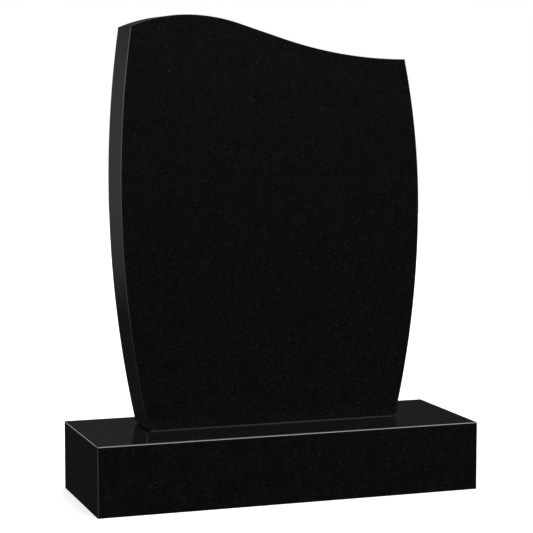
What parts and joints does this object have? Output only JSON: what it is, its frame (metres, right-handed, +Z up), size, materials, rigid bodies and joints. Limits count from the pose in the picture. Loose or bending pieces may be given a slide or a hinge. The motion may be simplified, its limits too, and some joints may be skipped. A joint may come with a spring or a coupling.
{
  "type": "headstone",
  "caption": "Upright headstone of polished black granite: a tablet with a wave-shaped top and bowed sides, standing on a plain rectangular base.",
  "frame": {"origin": "centre of the base's underside, on the ground", "axes": "+Z up, +X along the width, and the tablet's front face looks along -Y"},
  "size_m": [0.6, 0.215, 0.725],
  "materials": {
    "tablet_granite": "mirror-polished black granite with a fine pale fleck, ground arrises",
    "base_granite": "mirror-polished black granite with a fine pale fleck, ground arrises, sawn underside"
  },
  "bodies": {
    "root": {"tablet": "tablet_granite", "base": "base_granite"}
  },
  "joints": []
}
